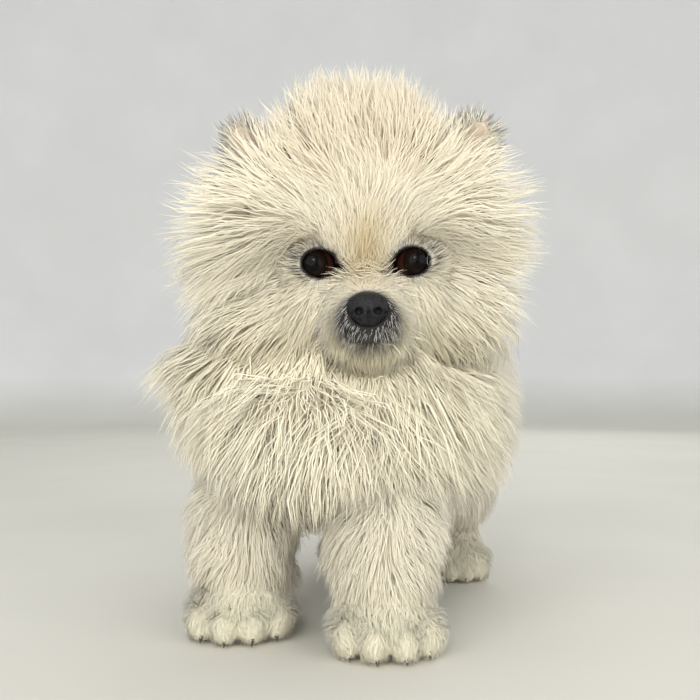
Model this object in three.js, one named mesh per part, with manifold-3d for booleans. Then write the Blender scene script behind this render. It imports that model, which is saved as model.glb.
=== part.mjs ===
// A ten-week-old Pomeranian puppy, life size, standing square with its body turned a little
// to one side and its head turned back to the viewer. Millimetres, +Z up, the viewer looks
// along +Y, and the dog's own left is on the +X side. The floor is at Z = 0.
import * as THREE from "three";
import Module from "manifold-3d";

const wasm = await Module();
wasm.setup();

// Driving dimensions
const GAP = 0.3; // between neighbouring pieces
const BODY_TURN = THREE.MathUtils.degToRad(-22.5); // heading of the trunk about Z
const BODY_CENTRE = new THREE.Vector3(7.6, 31, 0); // floor point under the middle of the back
const HEAD_CENTRE = new THREE.Vector3(5.4, -22, 155); // middle of the skull
const HEAD_YAW = THREE.MathUtils.degToRad(0.3);
const HEAD_ROLL = THREE.MathUtils.degToRad(-1.4);
const EYE_RADIUS = 7.8;
const EYE_PLACE = [18.9, -19.5, -10]; // centre of the left eye, in the head's frame
const LID_THICKNESS = 1.5;
const LEG_SPLIT_HEIGHT = 54; // trunk coat ends and leg coat begins
const PAW_SPLIT_HEIGHT = 18.5; // leg coat ends and paw begins
const CORE_SHARE = 0.45; // how far the dense undercoat fills the coat's depth

const vec = (x, y, z) => new THREE.Vector3(x, y, z);
const smooth = (low, high, x) => THREE.MathUtils.smoothstep(x, low, high);
const lerp = THREE.MathUtils.lerp;

// A repeatable random number from 0 to 1
let seed = 20252;
function random() {
  seed = (seed * 1664525 + 1013904223) % 4294967296;
  return seed / 4294967296;
}
const vary = (spread) => 1 + spread * (2 * random() - 1);

// Places in the trunk's own frame: x to the dog's left, y towards its tail
const bodyTurn = new THREE.Matrix4().makeRotationZ(BODY_TURN);
const bodyPoint = (x, y, z) => vec(x, y, z).applyMatrix4(bodyTurn).add(BODY_CENTRE);
const bodyWay = (x, y, z) => vec(x, y, z).normalize().applyMatrix4(bodyTurn);

// Places in the head's own frame: its middle plane is x = 0, its face looks along -y
const headTurn = new THREE.Matrix4()
  .makeRotationZ(HEAD_YAW)
  .multiply(new THREE.Matrix4().makeRotationY(HEAD_ROLL));
const headPoint = (x, y, z) => vec(x, y, z).applyMatrix4(headTurn).add(HEAD_CENTRE);
const headWay = (x, y, z) => vec(x, y, z).normalize().applyMatrix4(headTurn);

// Planes that part the coat, each along the lie of the hair
const plane = (normal, through) => ({ normal, offset: normal.dot(through) });
const flip = (p) => ({ normal: p.normal.clone().negate(), offset: -p.offset });
const aboveNeck = plane(vec(0.05, -0.7, 0.71).normalize(), vec(4, -20, 128));
const aheadOfTrunk = plane(bodyWay(0, -0.74, 0.67), bodyPoint(0, -42, 98));
const aboveBack = plane(bodyWay(0, 0.3, 0.95), bodyPoint(0, 56, 131));
const aboveLegs = plane(vec(0, 0, 1), vec(0, 0, LEG_SPLIT_HEIGHT));
const abovePaws = plane(vec(0, 0, 1), vec(0, 0, PAW_SPLIT_HEIGHT));
const aboveFloor = plane(vec(0, 0, 1), vec(0, 0, -GAP / 2));
const sideOf = (s) => plane(bodyWay(s, 0, 0), bodyPoint(0, 0, 0)); // s is 1 for left, -1 for right

// A solid from points and triangles, turned the right way out
function solidOf(points, faces) {
  const build = (order) =>
    new wasm.Manifold(
      new wasm.Mesh({
        numProp: 3,
        vertProperties: new Float32Array(points.flatMap((p) => p.toArray())),
        triVerts: new Uint32Array(order),
      }),
    );
  const made = build(faces);
  return made.volume() > 0 ? made : build(faces.slice().reverse());
}

function meshOf(name, solid, colour, roughness) {
  const mesh = solid.getMesh();
  const geometry = new THREE.BufferGeometry();
  geometry.setAttribute("position", new THREE.BufferAttribute(mesh.vertProperties, 3));
  geometry.setIndex(new THREE.BufferAttribute(mesh.triVerts, 1));
  geometry.computeVertexNormals();
  const material = new THREE.MeshStandardMaterial({ color: colour, roughness, metalness: 0 });
  const made = new THREE.Mesh(geometry, material);
  made.name = name;
  return made;
}

// The largest closed surface of a solid: loose scraps and sealed hollows are dropped
function largest(solid) {
  const bodies = solid.decompose();
  return bodies.reduce((best, body) => (body.volume() > best.volume() ? body : best));
}

const join = (solids) => wasm.Manifold.union(solids);
const keepSides = (solid, sides) =>
  sides.reduce((s, p) => s.trimByPlane(p.normal.toArray(), p.offset + GAP / 2), solid);

// A closed surface from pole to pole: `place(u, v)` for u once round and v from 0 to 1
function closedSurface(columns, rows, place) {
  const points = [place(0, 0)];
  for (let row = 1; row < rows; row++) {
    for (let column = 0; column < columns; column++) points.push(place(column / columns, row / rows));
  }
  points.push(place(0, 1));
  const last = points.length - 1;
  const at = (row, column) => 1 + (row - 1) * columns + (column % columns);
  const faces = [];
  for (let column = 0; column < columns; column++) {
    faces.push(0, at(1, column), at(1, column + 1));
    for (let row = 1; row < rows - 1; row++) {
      faces.push(at(row, column), at(row + 1, column), at(row + 1, column + 1));
      faces.push(at(row, column), at(row + 1, column + 1), at(row, column + 1));
    }
    faces.push(last, at(rows - 1, column + 1), at(rows - 1, column));
  }
  return solidOf(points, faces);
}

// An ellipsoid with three half-sizes, optionally turned and pinched by a function of its point
function ellipsoid(centre, radii, columns = 14, rows = 10, turn = new THREE.Matrix4()) {
  return closedSurface(columns, rows, (u, v) => {
    const round = 2 * Math.PI * u;
    const polar = Math.PI * v;
    return vec(
      radii[0] * Math.sin(polar) * Math.cos(round),
      radii[1] * Math.sin(polar) * Math.sin(round),
      radii[2] * Math.cos(polar),
    )
      .applyMatrix4(turn)
      .add(centre);
  });
}

// Value at t along a list of [t, value] pairs, eased between them
function ramp(pairs, t) {
  let i = 0;
  while (i < pairs.length - 2 && t > pairs[i + 1][0]) i++;
  return lerp(pairs[i][1], pairs[i + 1][1], smooth(pairs[i][0], pairs[i + 1][0], t));
}

// A closed tube along a spine. `profile(t)` gives its half-width and its heights above and
// below the spine, and `coat(t, angle)` the depth of the coat over it. `power` is 1 for a
// round section and less for a boxier one.
function tube({ spine, upHint, profile, coat, rings, sides, power = 1 }) {
  const curve = new THREE.CatmullRomCurve3(spine, false, "centripetal");
  const squared = (x) => Math.sign(x) * Math.pow(Math.abs(x), power);
  const frame = (t) => {
    const along = curve.getTangent(t);
    const side = upHint.clone().cross(along).normalize();
    return { centre: curve.getPoint(t), along, side, up: along.clone().cross(side) };
  };
  const point = (t, angle, extra = 0) => {
    const { centre, side, up } = frame(t);
    const size = profile(t);
    const height = Math.sin(angle) > 0 ? size.top : size.bottom;
    return centre
      .addScaledVector(side, squared(Math.cos(angle)) * (size.half + extra))
      .addScaledVector(up, squared(Math.sin(angle)) * (height + extra));
  };
  const normal = (t, angle) => {
    const step = 0.02;
    const low = Math.max(0, t - step);
    const high = Math.min(1, t + step);
    const lengthwise = point(high, angle).sub(point(low, angle));
    const round = point(t, angle + step).sub(point(t, angle - step));
    const out = round.cross(lengthwise).normalize();
    return out.dot(point(t, angle).sub(curve.getPoint(t))) < 0 ? out.negate() : out;
  };
  const solid = (share, grow = 0) =>
    closedSurface(sides, rings, (u, v) => {
      const angle = 2 * Math.PI * u;
      const pole = v === 0 || v === 1;
      const extra = share * coat(v, angle) + grow;
      if (!pole) return point(v, angle, extra);
      const { centre, along } = frame(v);
      return centre.addScaledVector(along, (v === 0 ? -1 : 1) * (0.6 * share * coat(v, 0) + grow));
    });
  return { frame, point, normal, coat, solid };
}

// A flat, tapered lock of hair. It grows out of `root` along the surface normal, bends over
// along `lie` and ends in a point. `sides` keep its line clear of the pieces next to it.
const LOCK_RINGS = [
  { s: 0, width: 0.7 },
  { s: 0.42, width: 1 },
  { s: 0.76, width: 0.72 },
];
const LOCK_SINK = 5; // how deep the root is set in the core
const LOCK_RIDGE = 0.24; // a lock's thickness as a share of its width

function lock({ root, normal, lie, rise, reach, width, sides, sway = 0 }) {
  const flat = lie.clone().addScaledVector(normal, -lie.dot(normal)).normalize();
  const across = normal.clone().cross(flat);
  const line = (s) =>
    root
      .clone()
      .addScaledVector(normal, -LOCK_SINK + (rise + LOCK_SINK) * (1 - Math.pow(1 - s, 1.6)))
      .addScaledVector(flat, reach * Math.pow(s, 1.4))
      .addScaledVector(across, sway * s * s);
  const clear = (p, margin) => {
    for (const side of sides) {
      const short = margin + GAP - (side.normal.dot(p) - side.offset);
      if (short > 0) p.addScaledVector(side.normal, short);
    }
    return p;
  };
  const points = [];
  for (const ring of LOCK_RINGS) {
    const half = (ring.width * width) / 2;
    const along = line(ring.s + 0.05).sub(line(ring.s)).normalize();
    const side = normal.clone().cross(along).normalize();
    const out = along.clone().cross(side);
    const centre = clear(line(ring.s), half * (0.4 + LOCK_RIDGE));
    points.push(centre.clone().addScaledVector(side, half));
    points.push(centre.clone().addScaledVector(out, ring.width * width * LOCK_RIDGE));
    points.push(centre.clone().addScaledVector(side, -half));
  }
  points.push(clear(line(1), 0));
  const faces = [0, 2, 1];
  for (const base of [0, 3]) {
    for (let k = 0; k < 3; k++) {
      const a = base + k;
      const b = base + ((k + 1) % 3);
      faces.push(a, b, b + 3, a, b + 3, a + 3);
    }
  }
  for (let k = 0; k < 3; k++) faces.push(6 + k, 6 + ((k + 1) % 3), 9);
  return solidOf(points, faces);
}

// Locks in staggered rings round a tube. `lieAt(t, angle)` gives the way the hair lies.
function tubeLocks(base, { rows, perRow, range, lieAt, width, sides, reach }) {
  const made = [];
  for (let row = 0; row < rows; row++) {
    const t = lerp(range[0], range[1], row / (rows - 1));
    for (let k = 0; k < perRow; k++) {
      const angle = (2 * Math.PI * (k + 0.5 * (row % 2) + 0.25 * (random() - 0.5))) / perRow;
      const depth = base.coat(t, angle);
      made.push({
        root: base.point(t, angle, CORE_SHARE * depth),
        normal: base.normal(t, angle),
        lie: lieAt(t, angle),
        rise: depth * (1 - CORE_SHARE) * vary(0.12),
        reach: depth * reach * vary(0.15),
        width: width * vary(0.15),
        sway: depth * 0.25 * (random() - 0.5),
        sides,
      });
    }
  }
  return made;
}

// Head. The skull, cheeks and muzzle are ellipsoids in the head's frame, blended smoothly
const HEAD_FORMS = [
  { centre: [0, 0, 3], radii: [29, 30, 29] }, // cranium
  { centre: [0, -12, 7], radii: [23, 19, 20] }, // forehead
  { centre: [16, -8, -18], radii: [15, 17, 15] }, // left cheek
  { centre: [-16, -8, -18], radii: [15, 17, 15] }, // right cheek
  { centre: [0, -28, -29], radii: [12.5, 16, 11] }, // muzzle
  { centre: [5.4, -35, -33.5], radii: [7.6, 8.6, 7.4] }, // left upper lip
  { centre: [-5.4, -35, -33.5], radii: [7.6, 8.6, 7.4] }, // right upper lip
  { centre: [0, -25, -39], radii: [9, 12.5, 6.5] }, // chin
];
const HEAD_BLEND = 6;
const MUZZLE_WAY = vec(0, -0.815, -0.58).normalize();
const NOSE_PLACE = [0, -41.5, -29.5];
const NOSE_RADII = [7.3, 5.6, 6.6];

function ellipsoidDistance(p, centre, radii) {
  const [x, y, z] = [0, 1, 2].map((k) => (p.getComponent(k) - centre[k]) / radii[k]);
  const near = Math.hypot(x, y, z);
  const slope = Math.hypot(x / radii[0], y / radii[1], z / radii[2]);
  return slope < 1e-9 ? -Math.min(...radii) : (near * (near - 1)) / slope;
}

// Distance from the skin of the head, negative inside; p is in the head's frame
function headSkin(p) {
  return HEAD_FORMS.reduce((nearest, form) => {
    const next = ellipsoidDistance(p, form.centre, form.radii);
    const mix = Math.max(HEAD_BLEND - Math.abs(nearest - next), 0) / HEAD_BLEND;
    return Math.min(nearest, next) - (mix * mix * HEAD_BLEND) / 4;
  }, 100);
}

// Depth of the coat over the head, for a direction from the middle of the skull. It is
// short round the eyes and dished at each ear, so that these stand clear of it.
const EYE_WAY = vec(...EYE_PLACE).normalize();
const EAR_WAY = vec(0.67, -0.1, 0.74).normalize();

function headCoat(way) {
  const fromMuzzle = THREE.MathUtils.radToDeg(way.angleTo(MUZZLE_WAY));
  const folded = vec(Math.abs(way.x), way.y, way.z);
  const full = lerp(36, 48, smooth(0.35, 0.9, folded.x)) - 7 * way.x; // fuller on its right
  const atEye = smooth(0.18, 0.62, folded.angleTo(EYE_WAY));
  const atEar = 1 - 0.6 * (1 - smooth(0.2, 0.4, folded.angleTo(EAR_WAY)));
  return 1 + atEye * atEar * full * smooth(36, 96, fromMuzzle + 16 * folded.x);
}

// Where a ray from the middle of the skull leaves the skin once that is grown by `extra`
function headSurface(way, extra) {
  const outside = (r) => headSkin(way.clone().multiplyScalar(r)) > extra;
  let high = 110;
  while (high > 8 && outside(high - 3)) high -= 3;
  let low = high - 3;
  for (let i = 0; i < 14; i++) {
    const middle = (low + high) / 2;
    if (outside(middle)) high = middle;
    else low = middle;
  }
  return way.clone().multiplyScalar(low);
}

function headNormal(p) {
  const step = 0.5;
  const slope = ["x", "y", "z"].map((axis) => {
    const ahead = p.clone();
    const behind = p.clone();
    ahead[axis] += step;
    behind[axis] -= step;
    return headSkin(ahead) - headSkin(behind);
  });
  return vec(...slope).normalize();
}

const headToWorld = (p) => headPoint(p.x, p.y, p.z);

// Rings of points round the muzzle's direction, closer together over the face
function headCore() {
  const side = vec(1, 0, 0);
  const up = MUZZLE_WAY.clone().cross(side).negate();
  return closedSurface(22, 17, (u, v) => {
    const polar = Math.PI * Math.pow(v, 1.35);
    const round = 2 * Math.PI * u;
    const way = MUZZLE_WAY.clone()
      .multiplyScalar(Math.cos(polar))
      .addScaledVector(side, Math.sin(polar) * Math.cos(round))
      .addScaledVector(up, Math.sin(polar) * Math.sin(round));
    return headToWorld(headSurface(way, CORE_SHARE * headCoat(way)));
  });
}

const mirrored = (p, s) => [s * p[0], p[1], p[2]];
const eyeBall = (s, radius) =>
  ellipsoid(headPoint(...mirrored(EYE_PLACE, s)), [radius, radius, radius], 12, 9);

// The opening between the lids: wider than high, its inner corner lower than its outer one
function fissure(s) {
  const turn = headTurn
    .clone()
    .multiply(new THREE.Matrix4().makeRotationZ(s * 0.3))
    .multiply(new THREE.Matrix4().makeRotationY(s * -0.12));
  const place = headPoint(s * (EYE_PLACE[0] + 0.6), EYE_PLACE[1] - 6, EYE_PLACE[2] - 0.2);
  return ellipsoid(place, [6.3, 9, 5.2], 14, 8, turn);
}

function noseSolid(grow = 0) {
  const round = ellipsoid(
    headPoint(...NOSE_PLACE),
    NOSE_RADII.map((r) => r + grow),
    12,
    8,
    headTurn,
  );
  if (grow) return round;
  const nostrils = [1, -1].map((s) => {
    const turn = headTurn.clone().multiply(new THREE.Matrix4().makeRotationZ(s * -0.7));
    return ellipsoid(headPoint(s * 3.6, -46.2, -30.2), [1.5, 4.2, 1.4], 8, 6, turn);
  });
  const slit = ellipsoid(headPoint(0, -47.6, -33.4), [0.5, 2.2, 3.4], 6, 6, headTurn);
  return round.subtract(join([...nostrils, slit]));
}

// The line of the mouth, from one corner under the nose to the other corner
function mouthTube(radius) {
  const curve = new THREE.CatmullRomCurve3(
    [-12.5, -8.5, -4, 0, 4, 8.5, 12.5].map((x) => {
      const back = Math.pow(Math.abs(x) / 12.5, 1.6);
      return headPoint(x, -43.2 + 15.5 * back, -39.2 - 1.6 * Math.sin(Math.PI * back) + 2.2 * back);
    }),
  );
  return closedSurface(6, 13, (u, v) => {
    const round = 2 * Math.PI * u;
    const along = curve.getTangent(v);
    const up = headWay(0, 0, 1);
    const out = along.clone().cross(up).normalize();
    const size = v === 0 || v === 1 ? 0 : radius;
    return curve
      .getPoint(v)
      .addScaledVector(up, size * Math.sin(round))
      .addScaledVector(out, size * Math.cos(round));
  });
}

// Ears: a cup open to the front, with a fringe of locks round its rim
function ear(s) {
  const shape = (inset, forward) =>
    tube({
      spine: [
        headPoint(s * 21, 3 + forward, 13),
        headPoint(s * 31, 2 + forward, 28),
        headPoint(s * 40, 0.5 + forward, 41),
        headPoint(s * 47, -1 + forward, 53 - inset),
      ],
      upHint: headWay(s * 0.25, -1, 0),
      profile: (t) => ({
        half: ramp([[0, 9.5], [0.35, 12.8], [0.7, 9.5], [0.93, 4], [1, 1.5]], t) - inset,
        top: ramp([[0, 4], [0.5, 3], [1, 1]], t) + (inset ? 3 : 0),
        bottom: ramp([[0, 6.5], [0.5, 6], [1, 1.8]], t) - inset,
      }),
      coat: () => 0,
      rings: 7,
      sides: 8,
    });
  const outer = shape(0, 0);
  const fringe = [0, 1, 2, 3].map((k) => {
    const t = 0.6 + 0.25 * (k % 2);
    const edge = k < 2 ? 1 : -1;
    const out = outer.frame(t).side.multiplyScalar(edge);
    return {
      root: outer.point(t, edge > 0 ? -0.3 : Math.PI + 0.3, -1),
      normal: out,
      lie: outer.frame(t).along,
      rise: 3 * vary(0.2),
      reach: 14 * vary(0.15),
      width: 7,
      sides: [],
    };
  });
  // Clear space round the ear and its fringe, and round its base in the head
  const along = headWay(s * 0.62, 0, 0.78);
  const across = headWay(s * -0.78, 0, 0.62);
  const turn = new THREE.Matrix4().makeBasis(across, headWay(0, -1, 0), along);
  const zone = ellipsoid(headPoint(s * 46, -4, 52), [21, 15, 34], 12, 8, turn);
  return {
    room: join([outer.solid(0, 2 * GAP), zone]),
    solid: largest(join([outer.solid(0).subtract(shape(1.6, -3.4).solid(0)), ...fringe.map(lock)])),
  };
}

const ears = { left: ear(1), right: ear(-1) };

function headLocks() {
  const made = [];
  const COUNT = 74; // over the whole ball, of which the rear and upper part carries locks
  const golden = Math.PI * (3 - Math.sqrt(5));
  for (let k = 0; k < COUNT; k++) {
    const z = 1 - (2 * (k + 0.5)) / COUNT;
    const ring = Math.sqrt(1 - z * z);
    const way = vec(ring * Math.cos(k * golden), ring * Math.sin(k * golden), z);
    const depth = headCoat(way);
    const p = headSurface(way, CORE_SHARE * depth);
    const root = headToWorld(p);
    const above = aboveNeck.normal.dot(root) - aboveNeck.offset;
    if (depth < 12 || above < 2) continue;
    const normal = headNormal(p);
    const away = p.clone().sub(vec(...NOSE_PLACE));
    const lie = away.addScaledVector(normal, -away.dot(normal)).normalize();
    made.push({
      root,
      normal: headWay(normal.x, normal.y, normal.z),
      lie: headWay(lie.x, lie.y, lie.z),
      rise: depth * (1 - CORE_SHARE) * vary(0.1),
      reach: depth * 0.55 * vary(0.15),
      width: (11 + depth * 0.34) * vary(0.15),
      sway: depth * 0.2 * (random() - 0.5),
      sides: [aboveNeck],
    });
  }
  return made;
}

function headSolid() {
  const lids = [1, -1].map((s) => eyeBall(s, EYE_RADIUS + LID_THICKNESS));
  const sockets = [1, -1].map((s) => eyeBall(s, EYE_RADIUS + GAP));
  const whole = join([headCore(), ...lids, mouthTube(1.9), ...headLocks().map(lock)]);
  const hollows = join([
    ...sockets,
    fissure(1),
    fissure(-1),
    noseSolid(GAP),
    mouthTube(0.75).translate(headWay(0, -1.6, -0.2).multiplyScalar(1.7).toArray()),
    ears.left.room,
    ears.right.room,
  ]);
  return largest(keepSides(whole.subtract(hollows), [aboveNeck]));
}

// Neck: the ruff stands out all round it, between the head and the trunk
const neck = tube({
  spine: [
    bodyPoint(-1, -22, 84),
    bodyPoint(0, -38, 104),
    vec(-4, -14, 120),
    vec(3, -20, 138),
    vec(5, -24, 156),
  ],
  upHint: vec(0, -0.7, -0.7),
  profile: () => ({ half: 25, top: 23, bottom: 22 }),
  coat: (t, angle) => {
    const side = Math.abs(Math.cos(angle));
    return Math.sin(angle) > 0 ? lerp(36, 50, side) : lerp(24, 50, side);
  },
  rings: 9,
  sides: 20,
  power: 0.85,
});

function neckSolid() {
  const sides = [flip(aboveNeck), aheadOfTrunk, aboveLegs];
  const locks = tubeLocks(neck, {
    rows: 2,
    perRow: 10,
    range: [0.42, 0.73],
    lieAt: () => vec(0, 0.1, -1),
    width: 26,
    reach: 0.55,
    sides,
  });
  const whole = join([neck.solid(CORE_SHARE), ...locks.map(lock)]);
  return largest(keepSides(whole, sides).subtract(legPockets()));
}

// Trunk: ribcage, loin and croup
const trunk = tube({
  spine: [
    bodyPoint(0, -68, 82),
    bodyPoint(0, -40, 88),
    bodyPoint(0, 0, 91),
    bodyPoint(0, 45, 94),
    bodyPoint(0, 75, 97),
  ],
  upHint: vec(0, 0, -1),
  profile: (t) => {
    const end = Math.sqrt(Math.max(0.05, 1 - Math.pow(Math.abs(2 * t - 1), t < 0.5 ? 9 : 4)));
    return {
      half: end * ramp([[0, 27], [0.25, 29], [0.55, 26], [0.85, 26], [1, 22]], t),
      top: end * ramp([[0, 26], [0.3, 30], [0.6, 26], [0.85, 27], [1, 20]], t),
      bottom: end * ramp([[0, 30], [0.3, 32], [0.6, 26], [0.85, 27], [1, 24]], t),
    };
  },
  coat: (t, angle) => {
    const side = Math.abs(Math.cos(angle));
    const vertical = Math.sin(angle) > 0 ? 26 : 33;
    return lerp(vertical, 44, side * side) * ramp([[0, 0.8], [0.3, 1], [0.8, 0.9], [1, 0.7]], t);
  },
  rings: 16,
  sides: 22,
  power: 0.75,
});

// Tail: rises from the croup, curls forward over the back and ends in a plume
const tail = tube({
  spine: [
    bodyPoint(0, 64, 112),
    bodyPoint(-1, 78, 124),
    bodyPoint(-3, 76, 140),
    bodyPoint(-6, 60, 151),
    bodyPoint(-9, 38, 155),
    bodyPoint(-12, 18, 153),
  ],
  upHint: bodyWay(1, 0, 0),
  profile: (t) => {
    const half = ramp([[0, 7], [0.3, 6.5], [0.8, 4.5], [1, 1.5]], t);
    return { half, top: half, bottom: half };
  },
  coat: (t) => ramp([[0, 10], [0.3, 22], [0.6, 30], [0.85, 27], [1, 16]], t),
  rings: 12,
  sides: 12,
});

// Legs, from inside the trunk down to the top of the paw
const LEGS = {
  front_leg_left: { s: 1, hind: false, paw: vec(13.2, -43, 0) },
  front_leg_right: { s: -1, hind: false, paw: vec(-43.6, -23, 0) },
  hind_leg_left: { s: 1, hind: true, paw: vec(55, 69, 0) },
  hind_leg_right: { s: -1, hind: true, paw: vec(0.5, 90, 0) },
};
const HIND_PAW_SIZE = 0.74; // as a share of a front paw's

function legTube({ s, hind, paw }) {
  const above = (dx, dy, z) => paw.clone().add(vec(dx, dy, z));
  const upper = hind
    ? [bodyPoint(s * 20, 50, 84), bodyPoint(s * 25, 42, 64)]
    : [bodyPoint(s * 24, -44, 80), bodyPoint(s * 28, -48, 62)];
  const lower = hind
    ? [above(-s, 4, 42), above(0, 9, 32), above(0, 4, 14)]
    : [above(0, 7, 42), above(0, 5, 26), above(0, 3, 14)];
  const widths = hind
    ? [[0, 8], [0.12, 15], [0.35, 15], [0.6, 9.5], [0.8, 7], [1, 8]]
    : [[0, 6], [0.12, 12], [0.35, 11.5], [0.6, 9], [0.8, 8], [1, 8.5]];
  const depths = hind
    ? [[0, 4], [0.3, 12], [0.5, 11], [0.75, 8], [1, 7]]
    : [[0, 4], [0.3, 12], [0.55, 13], [0.8, 12], [1, 9]];
  return tube({
    spine: [...upper, ...lower],
    upHint: vec(0, -1, 0),
    profile: (t) => {
      const half = ramp(widths, t);
      return { half, top: half, bottom: half * (hind ? 1.25 : 1.1) };
    },
    coat: (t, angle) => ramp(depths, t) * (Math.sin(angle) < 0 ? 1.15 : 1),
    rings: 9,
    sides: 8,
  });
}

// The upper arm or the thigh, which runs up into the trunk
function legTop({ s, hind }, grow = 0) {
  const centre = hind ? bodyPoint(s * 24, 47, 65) : bodyPoint(s * 27, -46, 62);
  const radii = hind ? [13, 17, 30] : [11.5, 13, 28];
  return ellipsoid(
    centre,
    radii.map((r) => r + grow),
    10,
    7,
    bodyTurn,
  );
}

// Room for the upper legs in the trunk and the neck
const legPockets = () => join(Object.values(LEGS).map((leg) => legTop(leg, 2 * GAP)));

function legSolid(leg) {
  const sides = [abovePaws, flip(aboveLegs), sideOf(leg.s)];
  const base = legTube(leg);
  const locks = tubeLocks(base, {
    rows: 3,
    perRow: 4,
    range: [0.46, 0.82],
    lieAt: () => vec(0, 0, -1),
    width: 19,
    reach: 1,
    sides,
  });
  const lower = keepSides(join([base.solid(CORE_SHARE), ...locks.map(lock)]), sides);
  return largest(join([lower, keepSides(legTop(leg), [abovePaws])]));
}

// Paws: a rounded foot with four toes, resting on a small flat
const TOES = [
  { x: -14.5, y: -8, r: 6.2 },
  { x: -5.2, y: -13.5, r: 6.6 },
  { x: 5.2, y: -13.5, r: 6.6 },
  { x: 14.5, y: -8, r: 6.2 },
];
const PAW_YAW = THREE.MathUtils.degToRad(4);

function pawPlace({ paw, hind }, x, y, z) {
  const size = hind ? HIND_PAW_SIZE : 1;
  const turn = new THREE.Matrix4().makeRotationZ(hind ? -PAW_YAW : PAW_YAW);
  return vec(size * x, size * y, z).applyMatrix4(turn).add(paw);
}

function clawSolid(leg, toe, grow = 0) {
  const size = leg.hind ? HIND_PAW_SIZE : 1;
  const root = pawPlace(leg, toe.x, toe.y - 3.5 * size, 4.6);
  const tip = pawPlace(leg, toe.x, toe.y - (toe.r + 3.2) * size, 1.2);
  const bend = root.clone().lerp(tip, 0.6).add(vec(0, 0, 1.1));
  const curve = new THREE.QuadraticBezierCurve3(root, bend, tip);
  return closedSurface(5, 4, (u, v) => {
    const along = curve.getTangent(v);
    const side = vec(0, 0, 1).cross(along).normalize();
    const up = along.clone().cross(side);
    const round = 2 * Math.PI * u;
    const pole = v === 0 || v === 1;
    const half = pole ? 0 : 1.25 * (1.15 - v) + grow;
    return curve
      .getPoint(v)
      .addScaledVector(side, half * Math.cos(round))
      .addScaledVector(up, 1.2 * half * Math.sin(round));
  });
}

function pawSolid(leg) {
  const size = leg.hind ? HIND_PAW_SIZE : 1;
  const base = ellipsoid(pawPlace(leg, 0, 0, 9), [17.5 * size, 17 * size, 13], 10, 5);
  const toes = TOES.map((toe) =>
    ellipsoid(pawPlace(leg, toe.x, toe.y, 6.5), [toe.r * size, 8.5 * size, 7.6], 6, 5),
  );
  const claws = TOES.map((toe) => clawSolid(leg, toe, GAP));
  return largest(
    keepSides(join([base, ...toes]).subtract(join(claws)), [aboveFloor, flip(abovePaws)]),
  );
}

function trunkSolid() {
  const sides = [flip(aheadOfTrunk), flip(aboveBack), aboveLegs];
  const locks = tubeLocks(trunk, {
    rows: 5,
    perRow: 8,
    range: [0.08, 0.9],
    lieAt: () => bodyWay(0, 0.7, -0.7),
    width: 29,
    reach: 0.7,
    sides,
  });
  const whole = join([trunk.solid(CORE_SHARE), ...locks.map(lock)]);
  return largest(keepSides(whole, sides).subtract(legPockets()));
}

function tailSolid() {
  const sides = [aboveBack, flip(aheadOfTrunk)];
  const locks = tubeLocks(tail, {
    rows: 3,
    perRow: 4,
    range: [0.32, 0.88],
    lieAt: (t) => tail.frame(t).along,
    width: 22,
    reach: 0.8,
    sides,
  });
  return largest(keepSides(join([tail.solid(CORE_SHARE), ...locks.map(lock)]), sides));
}

// Assembly
const CREAM = "#e6dcc0";
const group = new THREE.Group();
const addCoat = (name, solid) => group.add(meshOf(name, solid, CREAM, 0.85));
addCoat("head", headSolid());
addCoat("ear_left", ears.left.solid);
addCoat("ear_right", ears.right.solid);
addCoat("neck", neckSolid());
addCoat("torso", trunkSolid());
addCoat("tail", tailSolid());
for (const [name, leg] of Object.entries(LEGS)) {
  addCoat(name, legSolid(leg));
  addCoat(name.replace("leg", "paw"), pawSolid(leg));
  TOES.forEach((toe, k) => {
    const claw = clawSolid(leg, toe);
    group.add(meshOf(`${name.replace("leg", "claw")}_${k + 1}`, claw, "#3a342e", 0.45));
  });
}
group.add(meshOf("eye_left", eyeBall(1, EYE_RADIUS), "#120d0b", 0.08));
group.add(meshOf("eye_right", eyeBall(-1, EYE_RADIUS), "#120d0b", 0.08));
group.add(meshOf("nose", noseSolid(), "#1c1b1c", 0.4));

// The origin is on the floor, under the middle of everything
const bounds = new THREE.Box3().setFromObject(group);
const middle = bounds.getCenter(new THREE.Vector3());
group.children.forEach((mesh) => mesh.geometry.translate(-middle.x, -middle.y, -bounds.min.z));

export default group;
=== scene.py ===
"""A ten-week-old Pomeranian puppy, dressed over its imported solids.

Lengths in this script are millimetres in the frame the solids were drawn in, until
to_metres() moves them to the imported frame. The dog faces -Y, its own left is on +X.
"""

import math

import bmesh
import bpy
import numpy as np
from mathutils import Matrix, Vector
from mathutils.kdtree import KDTree


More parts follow.
